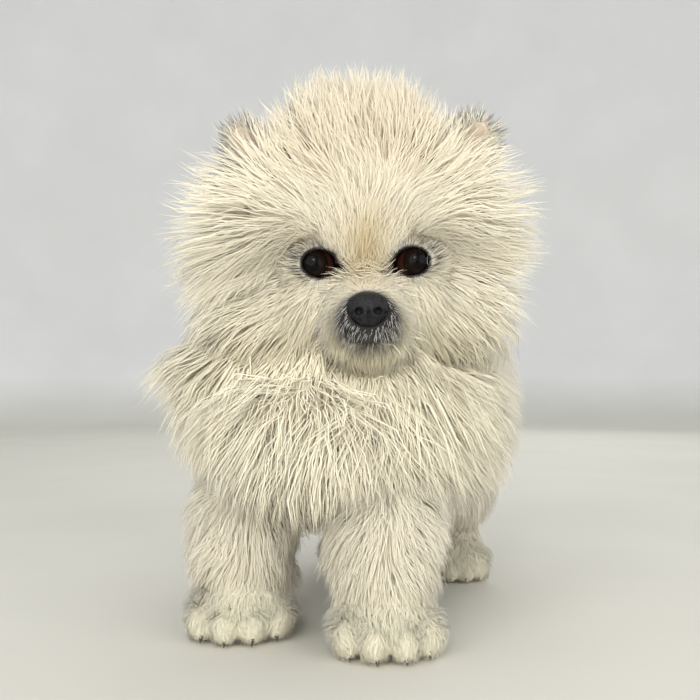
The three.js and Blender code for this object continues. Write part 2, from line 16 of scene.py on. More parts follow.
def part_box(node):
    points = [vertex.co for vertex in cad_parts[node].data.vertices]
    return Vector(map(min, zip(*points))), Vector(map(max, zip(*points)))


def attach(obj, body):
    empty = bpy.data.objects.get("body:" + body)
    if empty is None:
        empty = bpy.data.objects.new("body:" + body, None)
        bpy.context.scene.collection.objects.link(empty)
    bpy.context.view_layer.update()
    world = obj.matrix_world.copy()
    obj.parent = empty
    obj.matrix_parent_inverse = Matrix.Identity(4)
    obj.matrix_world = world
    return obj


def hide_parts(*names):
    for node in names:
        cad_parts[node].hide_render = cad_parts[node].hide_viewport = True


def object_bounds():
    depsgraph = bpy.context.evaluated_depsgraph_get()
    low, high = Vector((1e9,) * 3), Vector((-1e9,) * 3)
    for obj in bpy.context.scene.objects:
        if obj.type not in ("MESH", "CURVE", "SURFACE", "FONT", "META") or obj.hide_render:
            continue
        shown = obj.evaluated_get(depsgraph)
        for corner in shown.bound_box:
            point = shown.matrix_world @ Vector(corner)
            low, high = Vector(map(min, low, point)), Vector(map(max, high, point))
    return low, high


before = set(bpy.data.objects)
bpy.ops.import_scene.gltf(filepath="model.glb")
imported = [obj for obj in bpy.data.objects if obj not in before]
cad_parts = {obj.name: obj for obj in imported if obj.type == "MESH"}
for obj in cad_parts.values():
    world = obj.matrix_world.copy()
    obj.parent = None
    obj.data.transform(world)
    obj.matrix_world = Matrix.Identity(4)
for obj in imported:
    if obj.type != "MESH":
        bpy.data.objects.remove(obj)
CAD_BOX = [list(corner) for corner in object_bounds()]
rng = np.random.default_rng(2025)

# The same named values as the solids
BODY_TURN = math.radians(-22.5)
BODY_CENTRE = np.array([7.6, 31.0, 0.0])
HEAD_CENTRE = np.array([5.4, -22.0, 155.0])
HEAD_YAW = math.radians(0.3)
HEAD_ROLL = math.radians(-1.4)
EYE_PLACE = np.array([18.9, -19.5, -10.0])
EYE_RADIUS = 7.8
NOSE_PLACE = np.array([0.0, -41.5, -29.5])
MUZZLE_WAY = np.array([0.0, -0.815, -0.58])
HIND_PAW_SIZE = 0.74
PAW_YAW = math.radians(4)
CORE_SHARE = 0.45  # of the coat's depth past CORE_START, filled by undercoat
CORE_START = 7.0
NECK_END, NECK_END_WAY = [4, -20, 128], np.array([0.05, -0.7, 0.71])  # plane under the head
TRUNK_END, TRUNK_END_WAY = (0, -42, 98), (0, -0.74, 0.67)  # plane under the neck, of the body

# This script's own values
NOSE_BARE = np.array([7.5, 7.3, 6.6])  # half-widths of the hairless skin round the nose
LID_SKIN = 1.2
FLOOR_GAP = 0.4  # skin and hair come no nearer to the floor
FINE_STEP, COARSE_STEP = 0.8, 2.0  # of the grid over the face, and elsewhere
FACE_HALF_WIDTH = 36.0
GRID_START = 40.0  # a distance outside every form
CHUNK = 20000  # points handled at once
DOWN = np.array([0, 0, -1.0])


def turn_z(a):
    return np.array([[math.cos(a), -math.sin(a), 0], [math.sin(a), math.cos(a), 0], [0, 0, 1]])


def turn_y(a):
    return np.array([[math.cos(a), 0, math.sin(a)], [0, 1, 0], [-math.sin(a), 0, math.cos(a)]])


HEAD_TURN = turn_z(HEAD_YAW) @ turn_y(HEAD_ROLL)


def head_point(x, y, z):
    return HEAD_TURN @ np.array([x, y, z], float) + HEAD_CENTRE


def head_way(x, y, z):
    way = np.array([x, y, z], float)
    return HEAD_TURN @ (way / np.linalg.norm(way))


def body_point(x, y, z):
    return turn_z(BODY_TURN) @ np.array([x, y, z], float) + BODY_CENTRE


def body_way(x, y, z):
    way = np.array([x, y, z], float)
    return turn_z(BODY_TURN) @ (way / np.linalg.norm(way))


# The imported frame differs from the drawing's by one shift, read off the left eyeball
low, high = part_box("eye_left")
SHIFT = head_point(*EYE_PLACE) - 500.0 * (np.array(low) + np.array(high))


def to_metres(points):
    return (np.asarray(points, float) - SHIFT) * 0.001


def smooth(low, high, x):
    t = np.clip((x - low) / (high - low), 0, 1)
    return t * t * (3 - 2 * t)


def ramp(pairs, t):
    """Value at t along (t, value) pairs, eased between them."""
    knots = np.array([p[0] for p in pairs], float)
    values = np.array([p[1] for p in pairs], float)
    k = np.clip(np.searchsorted(knots, t, side="right") - 1, 0, len(knots) - 2)
    return values[k] + (values[k + 1] - values[k]) * smooth(knots[k], knots[k + 1], t)


def unit(v):
    return v / np.maximum(np.linalg.norm(v, axis=-1, keepdims=True), 1e-9)


def dot(a, b):
    return np.sum(a * b, axis=-1)


def blend_min(a, b, width):
    mix = np.maximum(width - np.abs(a - b), 0) / width
    return np.minimum(a, b) - mix * mix * width / 4


def spline(points, count):
    """Centripetal Catmull-Rom curve: count points and tangents, evenly spaced in t."""
    p = np.array(points, float)
    p = np.vstack([2 * p[0] - p[1], p, 2 * p[-1] - p[-2]])
    t = np.linspace(0, 1, count) * (len(points) - 1)
    k = np.minimum(t.astype(int), len(points) - 2)
    w = (t - k)[:, None]
    a, b, c, d = p[k], p[k + 1], p[k + 2], p[k + 3]
    gap = [np.sqrt(np.linalg.norm(v, axis=1, keepdims=True)) for v in (b - a, c - b, d - c)]
    m1 = ((b - a) / gap[0] - (c - a) / (gap[0] + gap[1]) + (c - b) / gap[1]) * gap[1]
    m2 = ((c - b) / gap[1] - (d - b) / (gap[1] + gap[2]) + (d - c) / gap[2]) * gap[1]
    c2 = -3 * b + 3 * c - 2 * m1 - m2
    c3 = 2 * b - 2 * c + m1 + m2
    return b + m1 * w + c2 * w**2 + c3 * w**3, unit(m1 + 2 * c2 * w + 3 * c3 * w**2)


class Tube:
    """A limb: a spine with half-widths across, above and below it."""

    COUNT = 40

    def __init__(self, points, up_hint, profile, power=1.0):
        self.t = np.linspace(0, 1, self.COUNT)
        self.centre, self.along = spline(points, self.COUNT)
        self.side = unit(np.cross(np.array(up_hint, float), self.along))
        self.up = np.cross(self.along, self.side)
        self.size = np.stack(profile(self.t), axis=1)
        self.power = power
        step = np.linalg.norm(np.diff(self.centre, axis=0), axis=1).mean()
        self.speed = step * (self.COUNT - 1)

    def local(self, p):
        """How far along, round and off the tube each point lies."""
        near = np.empty(len(p), int)
        for start in range(0, len(p), CHUNK):
            part = slice(start, start + CHUNK)
            gaps = p[part, None, :] - self.centre[None]
            near[part] = np.argmin(np.einsum("ijk,ijk->ij", gaps, gaps), axis=1)
        gap = p - self.centre[near]
        ahead = dot(gap, self.along[near])
        t = self.t[near] + ahead / self.speed
        over = np.maximum(0, np.maximum(-t, t - 1)) * self.speed
        t = np.clip(t, 0, 1)
        half = np.interp(t, self.t, self.size[:, 0])
        top = np.interp(t, self.t, self.size[:, 1])
        bottom = np.interp(t, self.t, self.size[:, 2])
        a, b = dot(gap, self.side[near]), dot(gap, self.up[near])
        x = np.abs(a) / half
        y = np.abs(b) / np.where(b > 0, top, bottom)
        curve = 2 / self.power
        q = np.maximum((x**curve + y**curve) ** (1 / curve), 1e-6)
        flat = np.hypot(a, b) * (1 - 1 / q)
        distance = np.where(over > 0, np.hypot(np.maximum(flat, 0), over), flat)
        across = np.clip(x / q, 0, 1) ** (1 / self.power)
        found = dict(t=t, near=near, cos=across, hand=np.sign(a), below=b < 0)
        return dict(found, distance=distance, place=p)


# Flesh: the same forms as in the solids, without the coat
HEAD_FORMS = [
    ([0, 0, 3], [29, 30, 29]),
    ([0, -12, 7], [23, 19, 20]),
    ([16, -8, -18], [15, 17, 15]),
    ([-16, -8, -18], [15, 17, 15]),
    ([0, -28, -29], [12.5, 16, 11]),
    ([5.4, -35, -33.5], [7.6, 8.6, 7.4]),
    ([-5.4, -35, -33.5], [7.6, 8.6, 7.4]),
    ([0, -25, -39], [9, 12.5, 6.5]),
]
HEAD_BLEND = 6.0


def ellipsoid_distance(p, centre, radii):
    scaled = (p - np.array(centre, float)) / np.array(radii, float)
    near = np.linalg.norm(scaled, axis=-1)
    slope = np.linalg.norm(scaled / np.array(radii, float), axis=-1)
    return near * (near - 1) / np.maximum(slope, 1e-6)


def head_skin(p):
    """Distance from the bare head; p is in the head's frame."""
    nearest = np.full(p.shape[:-1], 100.0)
    for centre, radii in HEAD_FORMS:
        nearest = blend_min(nearest, ellipsoid_distance(p, centre, radii), HEAD_BLEND)
    return nearest


def to_head(p):
    return (p - HEAD_CENTRE) @ HEAD_TURN


def angle_between(ways, way):
    return np.arccos(np.clip(ways @ (way / np.linalg.norm(way)), -1, 1))


def neck_profile(t):
    return np.full_like(t, 25.0), np.full_like(t, 23.0), np.full_like(t, 22.0)


def trunk_profile(t):
    end = np.sqrt(np.maximum(0.05, 1 - np.abs(2 * t - 1) ** np.where(t < 0.5, 9, 4)))
    half = ramp([(0, 27), (0.25, 29), (0.55, 26), (0.85, 26), (1, 22)], t)
    under = ramp([(0, 26), (0.3, 30), (0.6, 26), (0.85, 27), (1, 20)], t)
    back = ramp([(0, 30), (0.3, 32), (0.6, 26), (0.85, 27), (1, 24)], t)
    return end * half, end * under, end * back


def tail_profile(t):
    half = ramp([(0, 7), (0.3, 6.5), (0.8, 4.5), (1, 1.5)], t)
    return half, half, half


def body_points(*places):
    return [body_point(*place) for place in places]


neck_low = body_points((-1, -22, 84), (0, -38, 104))
neck_line = [*neck_low, [-4, -14, 120], [3, -20, 138], [5, -24, 156]]
NECK = Tube(neck_line, [0, -0.7, -0.7], neck_profile, 0.85)
trunk_line = body_points((0, -68, 82), (0, -40, 88), (0, 0, 91), (0, 45, 94), (0, 75, 97))
TRUNK = Tube(trunk_line, [0, 0, -1], trunk_profile, 0.75)
tail_root = body_points((0, 64, 112), (-1, 78, 124), (-3, 76, 140))
tail_line = tail_root + body_points((-6, 60, 151), (-9, 38, 155), (-12, 18, 153))
TAIL = Tube(tail_line, body_way(1, 0, 0), tail_profile)

LEGS = {
    "front_left": (1, False, np.array([13.2, -43.0, 0.0])),
    "front_right": (-1, False, np.array([-43.6, -23.0, 0.0])),
    "hind_left": (1, True, np.array([55.0, 69.0, 0.0])),
    "hind_right": (-1, True, np.array([0.5, 90.0, 0.0])),
}
TOES = [(-14.5, -8, 6.2), (-5.2, -13.5, 6.6), (5.2, -13.5, 6.6), (14.5, -8, 6.2)]


def leg_tube(s, hind, paw):
    if hind:
        high = body_points((s * 20, 50, 84), (s * 25, 42, 64))
        low = [paw + [-s, 4, 42], paw + [0, 9, 32], paw + [0, 4, 14]]
        widths = [(0, 8), (0.12, 15), (0.35, 15), (0.6, 9.5), (0.8, 7), (1, 8)]
    else:
        high = body_points((s * 24, -44, 80), (s * 28, -48, 62))
        low = [paw + [0, 7, 42], paw + [0, 5, 26], paw + [0, 3, 14]]
        widths = [(0, 6), (0.12, 12), (0.35, 11.5), (0.6, 9), (0.8, 8), (1, 8.5)]
    heel = 1.25 if hind else 1.1

    def profile(t):
        half = ramp(widths, t)
        return half, half, half * heel

    return Tube(high + low, [0, -1, 0], profile)


LEG_TUBES = {name: leg_tube(*leg) for name, leg in LEGS.items()}


def paw_size(hind):
    return HIND_PAW_SIZE if hind else 1.0


def paw_place(leg, x, y, z):
    _, hind, paw = leg
    size = paw_size(hind)
    return turn_z(-PAW_YAW if hind else PAW_YAW) @ np.array([size * x, size * y, z], float) + paw


def paw_forms(leg):
    size = paw_size(leg[1])
    forms = [(paw_place(leg, 0, 0, 9), [15.5 * size, 15 * size, 11.5])]
    for x, y, r in TOES:
        forms.append((paw_place(leg, x, y, 6.5), [r * size * 0.9, 8.5 * size, 6.9]))
    return forms


def ear_tube(s):
    def profile(t):
        half = ramp([(0, 9.5), (0.35, 12.8), (0.7, 9.5), (0.93, 4), (1, 1.5)], t)
        front = ramp([(0, 4), (0.5, 3), (1, 1)], t)
        back = ramp([(0, 6.5), (0.5, 6), (1, 1.8)], t)
        return half, front, back

    places = [(21, 3, 13), (33, 2, 26), (43, 0.5, 38), (50, -1, 49)]
    points = [head_point(s * x, y, z) for x, y, z in places]
    return Tube(points, head_way(s * 0.25, -1, 0), profile)


EARS = {s: ear_tube(s) for s in (1, -1)}
EAR_THICKNESS = 1.4


def ear_mesh(tube, columns=28, rows=22):
    """A thin cup, open to the front, as points and triangles."""
    pick = np.linspace(0, tube.COUNT - 1, rows + 1).round().astype(int)
    angle = np.arange(columns) * 2 * np.pi / columns
    vertices = []
    for k in pick[1:-1]:
        half, _, back = tube.size[k]
        hollow = max(back - EAR_THICKNESS, 0.25 * back)
        height = np.where(np.sin(angle) < 0, back * np.sin(angle), -hollow * np.sin(angle))
        across = half * np.cos(angle)
        vertices.append(tube.centre[k] + np.outer(across, tube.side[k]) + np.outer(height, tube.up[k]))
    vertices = np.vstack([*vertices, tube.centre[:1], tube.centre[-1:]])
    faces = []
    last = (rows - 2) * columns
    for c in range(columns):
        n = (c + 1) % columns
        for base in range(0, last, columns):
            faces.append((base + c, base + n, base + columns + n))
            faces.append((base + c, base + columns + n, base + columns + c))
        faces.append((len(vertices) - 2, n, c))
        faces.append((len(vertices) - 1, last + c, last + n))
    return vertices, np.array(faces)


def mouth_line(count):
    x = np.linspace(-12.5, 12.5, count)
    back = (np.abs(x) / 12.5) ** 1.6
    y = -43.2 + 15.5 * back
    z = -39.2 - 1.6 * np.sin(np.pi * back) + 2.2 * back
    return np.stack([x, y, z], axis=1)


def polyline_distance(p, line):
    best = np.full(len(p), 1e9)
    for a, b in zip(line[:-1], line[1:]):
        ab = b - a
        h = np.clip(((p - a) @ ab) / (ab @ ab), 0, 1)[:, None]
        best = np.minimum(best, np.linalg.norm(p - a - h * ab, axis=1))
    return best


# A grid with fine steps over the face, and the skin as its zero surface
def grid_line(low, high, fine_low, fine_high, fine, coarse):
    left = np.linspace(low, fine_low, max(2, int((fine_low - low) / coarse)), endpoint=False)
    middle = np.arange(fine_low, fine_high, fine)
    right = np.linspace(fine_high, high, max(2, int((high - fine_high) / coarse)))
    return np.concatenate([left, middle, right])


class Grid:
    """Distance from the skin at the points of three grid lines, negative inside."""

    def __init__(self):
        steps = (FINE_STEP, COARSE_STEP)
        middle = HEAD_CENTRE[0]
        self.lines = (
            grid_line(-74, 86, middle - FACE_HALF_WIDTH, middle + FACE_HALF_WIDTH, *steps),
            grid_line(-84, 128, -72, -36, *steps),
            grid_line(-3, 222, 110, 160, *steps),
        )
        self.value = np.full([len(line) for line in self.lines], GRID_START, np.float32)

    def merge(self, low, high, distance, blend, sign=1):
        """Joins a form to the rest within a box, or cuts it out where sign is -1."""
        cut = []
        for line, a, b in zip(self.lines, low, high):
            cut.append(slice(int(np.searchsorted(line, a)), int(np.searchsorted(line, b))))
        grids = np.meshgrid(*[line[c] for line, c in zip(self.lines, cut)], indexing="ij")
        part = self.value[tuple(cut)]
        found = distance(np.stack([g.ravel() for g in grids], axis=1)).reshape(part.shape)
        self.value[tuple(cut)] = sign * blend_min(sign * part, found, blend)

    def carve(self, low, high, distance, blend):
        self.merge(low, high, distance, blend, -1)


def tube_reach(tube):
    size = float(tube.size.max()) + 24
    return tube.centre.min(0) - size, tube.centre.max(0) + size


# Coat: its depth over each form, and the felted undercoat that fills its lower part
def core(depth):
    return CORE_SHARE * np.maximum(depth - CORE_START, 0)


def close_to(ways, way, low, high):
    """1 near a direction, eased to 0 between two angles from it."""
    return 1 - smooth(low, high, angle_between(ways, np.array(way)))


def head_coat(way):
    """Depth of the coat over the head, by direction from the head's middle."""
    from_muzzle = np.degrees(angle_between(way, MUZZLE_WAY))
    side = np.abs(way[:, 0])
    folded = np.stack([side, way[:, 1], way[:, 2]], axis=1)
    full = 36 + 10 * smooth(0.35, 0.9, side) * smooth(-0.3, 0.15, way[:, 2]) - 4 * way[:, 0]
    full = full + 6 * smooth(0.2, 0.7, side) * smooth(0.15, -0.5, way[:, 2])
    full = full * (1 - 0.42 * smooth(0.45, 0.95, -way[:, 1]))
    at_eye = smooth(0.16, 0.54, angle_between(folded, EYE_PLACE))
    at_ear = 1 - 0.76 * close_to(folded, [0.7, -0.2, 0.68], 0.2, 0.5)
    under_ear = 1 - 0.3 * close_to(folded, [0.88, -0.1, 0.45], 0.12, 0.5)
    return 1 + at_eye * at_ear * under_ear * full * smooth(27, 92, from_muzzle + 16 * side)


def head_surface(q):
    """Distance from the head with its undercoat; q is in the head's frame."""
    return head_skin(q) - core(head_coat(unit(q)))


def neck_coat(near):
    side = near["cos"]
    depth = np.where(near["below"], 24, 35) + (12 - 7 * near["hand"]) * side
    return depth * ramp([(0, 1), (0.35, 1), (0.7, 0.5), (1, 0.4)], near["t"])


def trunk_coat(near):
    side = near["cos"] ** 2
    middle = np.where(near["below"], 33.0, 26.0)
    along = ramp([(0, 0.8), (0.3, 1), (0.8, 0.9), (1, 0.7)], near["t"])
    return (middle + (44 - middle) * side) * along


def tail_coat(near):
    return ramp([(0, 10), (0.3, 22), (0.6, 30), (0.85, 27), (1, 16)], near["t"])


def leg_coat(hind):
    front_depths = [(0, 5), (0.3, 14), (0.55, 15.5), (0.8, 14.5), (1, 12)]
    hind_depths = [(0, 4), (0.3, 12), (0.5, 11), (0.75, 8), (1, 7)]
    depths = hind_depths if hind else front_depths
    return lambda near: ramp(depths, near["t"]) * np.where(near["below"], 1.15, 1.0)


def above_neck(p):
    """How far a point lies on the head's side of the plane where the neck ends."""
    return (p - NECK_END) @ NECK_END_WAY


def tube_core(tube, coat, near):
    """The undercoat over a tube; over the neck it fades out towards the head."""
    lift = core(coat(near))
    return lift * (1 - smooth(-34, -2, above_neck(near["place"]))) if tube is NECK else lift


def tube_surface(tube, coat, p):
    near = tube.local(p)
    return near["distance"] - tube_core(tube, coat, near)


def lid_distance(q, s):
    """Distance from the opening between the lids, which is pointed at its inner corner."""
    turn = turn_z(s * 0.3) @ turn_y(-s * 0.12)
    p = (q - [s * (EYE_PLACE[0] - 1.9), EYE_PLACE[1] - 6, EYE_PLACE[2] - 0.2]) @ turn
    opening = ellipsoid_distance(p, [0, 0, 0], [6.0, 9, 4.9])
    corner = ellipsoid_distance(p, [-s * 4.9, 0, -1.2], [3.0, 9, 1.6])
    return blend_min(opening, corner, 1.5)


def eye_centre(s):
    return head_point(*(EYE_PLACE * [s, 1, 1]))


def skin_field():
    """All forms merged, then the eyes, lids, nose and mouth cut in."""
    grid = Grid()
    tubes = [(TRUNK, trunk_coat, 4), (NECK, neck_coat, 14), (TAIL, tail_coat, 6)]
    for tube, coat, blend in tubes:
        grid.merge(*tube_reach(tube), lambda p, t=tube, c=coat: tube_surface(t, c, p), blend)
    for name, tube in LEG_TUBES.items():
        coat = leg_coat(LEGS[name][1])
        grid.merge(*tube_reach(tube), lambda p, t=tube, c=coat: tube_surface(t, c, p), 8)
        for centre, radii in paw_forms(LEGS[name]):
            reach = np.array(radii) + 6
            toe = lambda p, c=centre, r=radii: ellipsoid_distance(p, c, r)
            grid.merge(centre - reach, centre + reach, toe, 2.0)
    head = (HEAD_CENTRE - [66, 66, 66], HEAD_CENTRE + [66, 66, 62])
    grid.merge(*head, lambda p: head_surface(to_head(p)), 10)
    lid = EYE_RADIUS + LID_SKIN
    for eye in (eye_centre(1), eye_centre(-1)):
        grid.merge(eye - 14, eye + 14, lambda p, c=eye: np.linalg.norm(p - c, axis=1) - lid, 3)
    mouth = mouth_line(17)
    muzzle = head_point(0, -36, -38)
    muzzle = (muzzle - 22, muzzle + 22)
    grid.merge(*muzzle, lambda p: polyline_distance(to_head(p), mouth) - 1.9, 2)
    for s in (1, -1):
        eye = eye_centre(s)
        socket = lambda p, c=eye: np.linalg.norm(p - c, axis=1) - EYE_RADIUS - 0.1
        grid.carve(eye - 12, eye + 12, socket, 0.5)
        grid.carve(eye - 18, eye + 18, lambda p, s=s: lid_distance(to_head(p), s), 0.8)
    nose_hole = [NOSE_PLACE + [0, -0.6, 0], [6.7, 5.2, 6.0]]
    grid.carve(*muzzle, lambda p: ellipsoid_distance(to_head(p), *nose_hole), 0.8)
    groove = mouth + np.array([0, -1.6, -0.2]) * 1.05
    grid.carve(*muzzle, lambda p: polyline_distance(to_head(p), groove) - 0.8, 0.8)
    grid.value = np.maximum(grid.value, (FLOOR_GAP - grid.lines[2])[None, None, :])
    return grid


def surface_nets(grid):
    """One closed quad mesh of the zero surface of the grid."""
    value = grid.value
    inside = value < 0
    lines = grid.lines
    shape = np.array(value.shape) - 1
    count = np.zeros(shape, np.int8)
    total = np.zeros((*shape, 3))
    corner = {}
    for k in range(8):
        offset = (k & 1, (k >> 1) & 1, k >> 2)
        corner[offset] = tuple(slice(o, o + n) for o, n in zip(offset, shape))
    for axis in range(3):
        for a, b in ((0, 0), (0, 1), (1, 0), (1, 1)):
            start = [a, b]
            start.insert(axis, 0)
            end = list(start)
            end[axis] = 1
            first, second = corner[tuple(start)], corner[tuple(end)]
            crossed = inside[first] != inside[second]
            where = np.nonzero(crossed)
            v0, v1 = value[first][where], value[second][where]
            mix = v0 / (v0 - v1)
            count[where] += 1
            for k in range(3):
                base = lines[k][where[k] + start[k]]
                if k == axis:
                    base = base + mix * (lines[k][where[k] + 1] - lines[k][where[k]])
                total[(*where, k)] += base
    cells = np.nonzero(count)
    number = np.full(shape, -1, np.int64)
    number[cells] = np.arange(len(cells[0]))
    points = total[cells] / count[cells][:, None]
    quads = []
    for axis in range(3):
        others = [k for k in range(3) if k != axis]
        lead = [slice(1, -1)] * 3
        lead[axis] = slice(0, -1)
        tail = [slice(1, -1)] * 3
        tail[axis] = slice(1, None)
        a, b = inside[tuple(lead)], inside[tuple(tail)]
        where = np.array(np.nonzero(a != b))
        filled = a[tuple(where)]
        for k in others:
            where[k] += 1
        cell = []
        for da, db in ((0, 0), (1, 0), (1, 1), (0, 1)):
            at = where.copy()
            at[others[0]] -= da
            at[others[1]] -= db
            cell.append(number[tuple(at)])
        quad = np.stack(cell, axis=1)
        turned = filled if axis != 1 else ~filled
        quad[~turned] = quad[~turned][:, ::-1]
        quads.append(quad)
    return points, np.concatenate(quads)


# Which way the coat lies and how it is marked, at any point of the skin
def tangent(v, normal):
    return unit(v - normal * dot(v, normal)[:, None])


def region(p, normal, distance, depth, lie, reach, clump, density):
    """A region's values at each point, with single values spread over them."""
    values = {"depth": depth, "reach": reach, "clump": clump, "density": density}
    spread = {key: np.broadcast_to(value, len(p)) for key, value in values.items()}
    return {"distance": distance, "lie": tangent(np.broadcast_to(lie, p.shape), normal), **spread}


def head_region(p, normal):
    q = to_head(p)
    way = unit(q)
    away = tangent((q - (NOSE_PLACE + [0, 0, 3])) @ HEAD_TURN.T, normal)
    depth = head_coat(way)
    depth = depth - core(depth)
    drop = 0.25 * smooth(0.2, 0.8, np.abs(way[:, 0])) + 0.9 * smooth(-0.05, -0.6, way[:, 2])
    drop = drop + 1.2 * smooth(0.1, 0.7, way[:, 1])
    lie = away + drop[:, None] * DOWN
    short = 1.8 + 8.5 * smooth(8.5, 24, np.linalg.norm(q - NOSE_PLACE, axis=1))
    for s in (1, -1):  # the hair parts round each eye
        gap = (q - (EYE_PLACE - [3.0, 0, 0.4]) * [s, 1, 1]) @ HEAD_TURN.T
        far = np.linalg.norm(gap, axis=1)
        strength = 3.0 * np.exp(-((far / 12.5) ** 4))
        lie = lie + strength[:, None] * tangent(gap, normal)
        short = 1.6 + (short - 1.6) * smooth(8, 14, far)
    depth = np.maximum(depth, short)
    reach = np.interp(depth, [1.8, 5, 12, 26], [1.8, 1.3, 1.0, 0.85])
    clump = np.interp(depth, [3, 20], [0.06, 0.22])
    density = np.interp(depth, [3, 14], [9.0, 2.9])
    return region(p, normal, head_surface(q), depth, lie, reach, clump, density)


def ear_region(s, p, normal):
    tube = EARS[s]
    near = tube.local(p)
    k = near["near"]
    outward = dot(p - tube.centre[k], tube.side[k]) / tube.size[k, 0]
    inner = smooth(0.2, 0.6, dot(normal, tube.up[k])) * (1 - smooth(0.6, 0.9, np.abs(outward)))
    lie = tube.along[k] + (0.75 * outward)[:, None] * tube.side[k]
    depth, density = 7.0 - 3.5 * inner, 9.0 - 5.0 * inner
    return region(p, normal, near["distance"], depth, lie, 1.3, 0.2, density)


def tube_region(tube, p, normal, coat, lie, reach, clump, density):
    near = tube.local(p)
    lift = tube_core(tube, coat, near)
    way = lie(near) if callable(lie) else lie
    values = (near["distance"] - lift, coat(near) - lift, way, reach, clump, density)
    return region(p, normal, *values)


def paw_region(leg, p, normal):
    distance = np.full(len(p), 100.0)
    for centre, radii in paw_forms(leg):
        distance = np.minimum(distance, ellipsoid_distance(p, centre, radii))
    height = p[:, 2]
    forward = np.array([0, -1.0, -0.35])
    depth = np.where(height < 1.2, 0.2, 2.4 + 6.0 * smooth(5, 18, height))
    return region(p, normal, distance, depth, forward, 1.5, 0.15, 8.5)


def coat_fields(p, normal):
    """Depth, lie and the rest at points of the skin, eased from one region to the next."""
    regions = {"head": head_region(p, normal)}
    regions["ear_left"] = ear_region(1, p, normal)
    regions["ear_right"] = ear_region(-1, p, normal)
    tubes = {
        "neck": (NECK, neck_coat, np.array([0, 0.1, -1.0]), 0.95, 0.36, 2.5),
        "torso": (TRUNK, trunk_coat, body_way(0, 0.6, -0.8), 0.9, 0.3, 1.8),
        "tail": (TAIL, tail_coat, lambda near: TAIL.along[near["near"]], 0.9, 0.3, 3.2),
    }
    for name, (tube, *values) in tubes.items():
        regions[name] = tube_region(tube, p, normal, *values)
    for name, leg in LEGS.items():
        values = (leg_coat(leg[1]), DOWN, 1.4, 0.32, 4.0)
        regions["leg_" + name] = tube_region(LEG_TUBES[name], p, normal, *values)
        regions["paw_" + name] = paw_region(leg, p, normal)
    above = above_neck(p)
    ahead = (p - body_point(*TRUNK_END)) @ body_way(*TRUNK_END_WAY)
    regions["head"]["distance"] += 30 * smooth(-4, -14, above)
    regions["neck"]["distance"] += 30 * smooth(4, 14, above) + 30 * smooth(-4, -14, ahead)
    regions["torso"]["distance"] += 30 * smooth(4, 14, ahead)
    names = list(regions)
    distance = np.stack([regions[n]["distance"] for n in names])
    weight = np.exp(-(distance - distance.min(0)) / 3.0)
    weight /= weight.sum(0)
    fields = {"region": distance.argmin(0), "names": names}
    for key in ("depth", "reach", "clump", "density"):
        fields[key] = (weight * np.stack([regions[n][key] for n in names])).sum(0)
    lie = (weight[..., None] * np.stack([regions[n]["lie"] for n in names])).sum(0)
    fields["lie"] = tangent(lie, normal)
    return fields


def srgb(r, g, b):
    c = np.array([r, g, b]) / 255
    return np.where(c <= 0.04045, c / 12.92, ((c + 0.055) / 1.055) ** 2.4)


CREAM = srgb(240, 232, 211)
# the crown's warmer tone, darkened as painted shade against the light from above
CROWN_TONE_AND_SHADE = srgb(228, 216, 191)
CHEST = srgb(240, 231, 204)
TAN = srgb(206, 186, 142)
DARK = srgb(54, 51, 49)
RIM = srgb(26, 21, 19)
PAW = srgb(250, 242, 217)
PINK = srgb(216, 184, 160)
GREY = srgb(186, 184, 180)
PUPIL, IRIS, EYE_WHITE = srgb(8, 7, 6), srgb(26, 17, 12), srgb(66, 36, 30)


def markings(p):
    """Colour of skin and coat at each root."""
    q = to_head(p)
    colour = np.broadcast_to(CREAM, p.shape).copy()

    def paint(target, amount):
        colour[:] += (target - colour) * np.clip(amount, 0, 1)[:, None]

    in_head = 1 - smooth(0, 24, head_surface(q))
    # the top of the head is painted darker: partly its warmer tone, partly painted shade against the
    # light from above
    paint(CROWN_TONE_AND_SHADE, in_head * smooth(5, 30, q[:, 2]))
    low_front = smooth(60, 110, p[:, 2]) * (1 - smooth(118, 140, p[:, 2]))
    paint(CHEST, 0.7 * low_front * (1 - smooth(-30, 10, p[:, 1])))
    paint(PAW, 1 - smooth(14, 34, p[:, 2]))
    stop = np.exp(-((q[:, 0] / 7.5) ** 2) - ((q[:, 2] + 9) / 12) ** 2)
    paint(TAN, 0.85 * in_head * stop * (q[:, 1] < -10))
    muzzle = (q - [0, -42, -32.8]) / [13.5, 15, 11.3]
    paint(DARK, 1 - smooth(0.72, 1.05, np.linalg.norm(muzzle, axis=1)))
    paint(RIM, 1 - smooth(1.0, 1.2, np.linalg.norm((q - NOSE_PLACE) / NOSE_BARE, axis=1)))
    for s in (1, -1):
        paint(RIM, (1 - smooth(0.9, 2.0, lid_distance(q, s))) * (q[:, 1] < -14))
        ear = EARS[s].local(p)
        k = ear["near"]
        beside = np.abs(dot(p - EARS[s].centre[k], EARS[s].side[k])) / EARS[s].size[k, 0]
        hollow = (ear["distance"] < -0.6) & (ear["t"] > 0.3)
        paint(PINK, 0.5 * hollow * (1 - smooth(0.45, 0.85, beside)))
    return colour


# Meshes and materials
def mesh_object(name, points, faces, attributes=None):
    mesh = bpy.data.meshes.new(name)
    faces = np.asarray(faces)
    mesh.vertices.add(len(points))
    mesh.vertices.foreach_set("co", to_metres(points).astype(np.float32).ravel())
    mesh.loops.add(faces.size)
    mesh.loops.foreach_set("vertex_index", faces.astype(np.int32).ravel())
    mesh.polygons.add(len(faces))
    starts = np.arange(0, faces.size, faces.shape[1], dtype=np.int32)
    mesh.polygons.foreach_set("loop_start", starts)
    mesh.update(calc_edges=True)
    mesh.shade_smooth()
    for key, values in (attributes or {}).items():
        layer = mesh.attributes.new(key, "FLOAT_COLOR", "POINT")
        rgba = np.concatenate([values, np.ones((len(values), 1))], axis=1)
        layer.data.foreach_set("color", rgba.astype(np.float32).ravel())
    made = bpy.data.objects.new(name, mesh)
    bpy.context.scene.collection.objects.link(made)
    return made


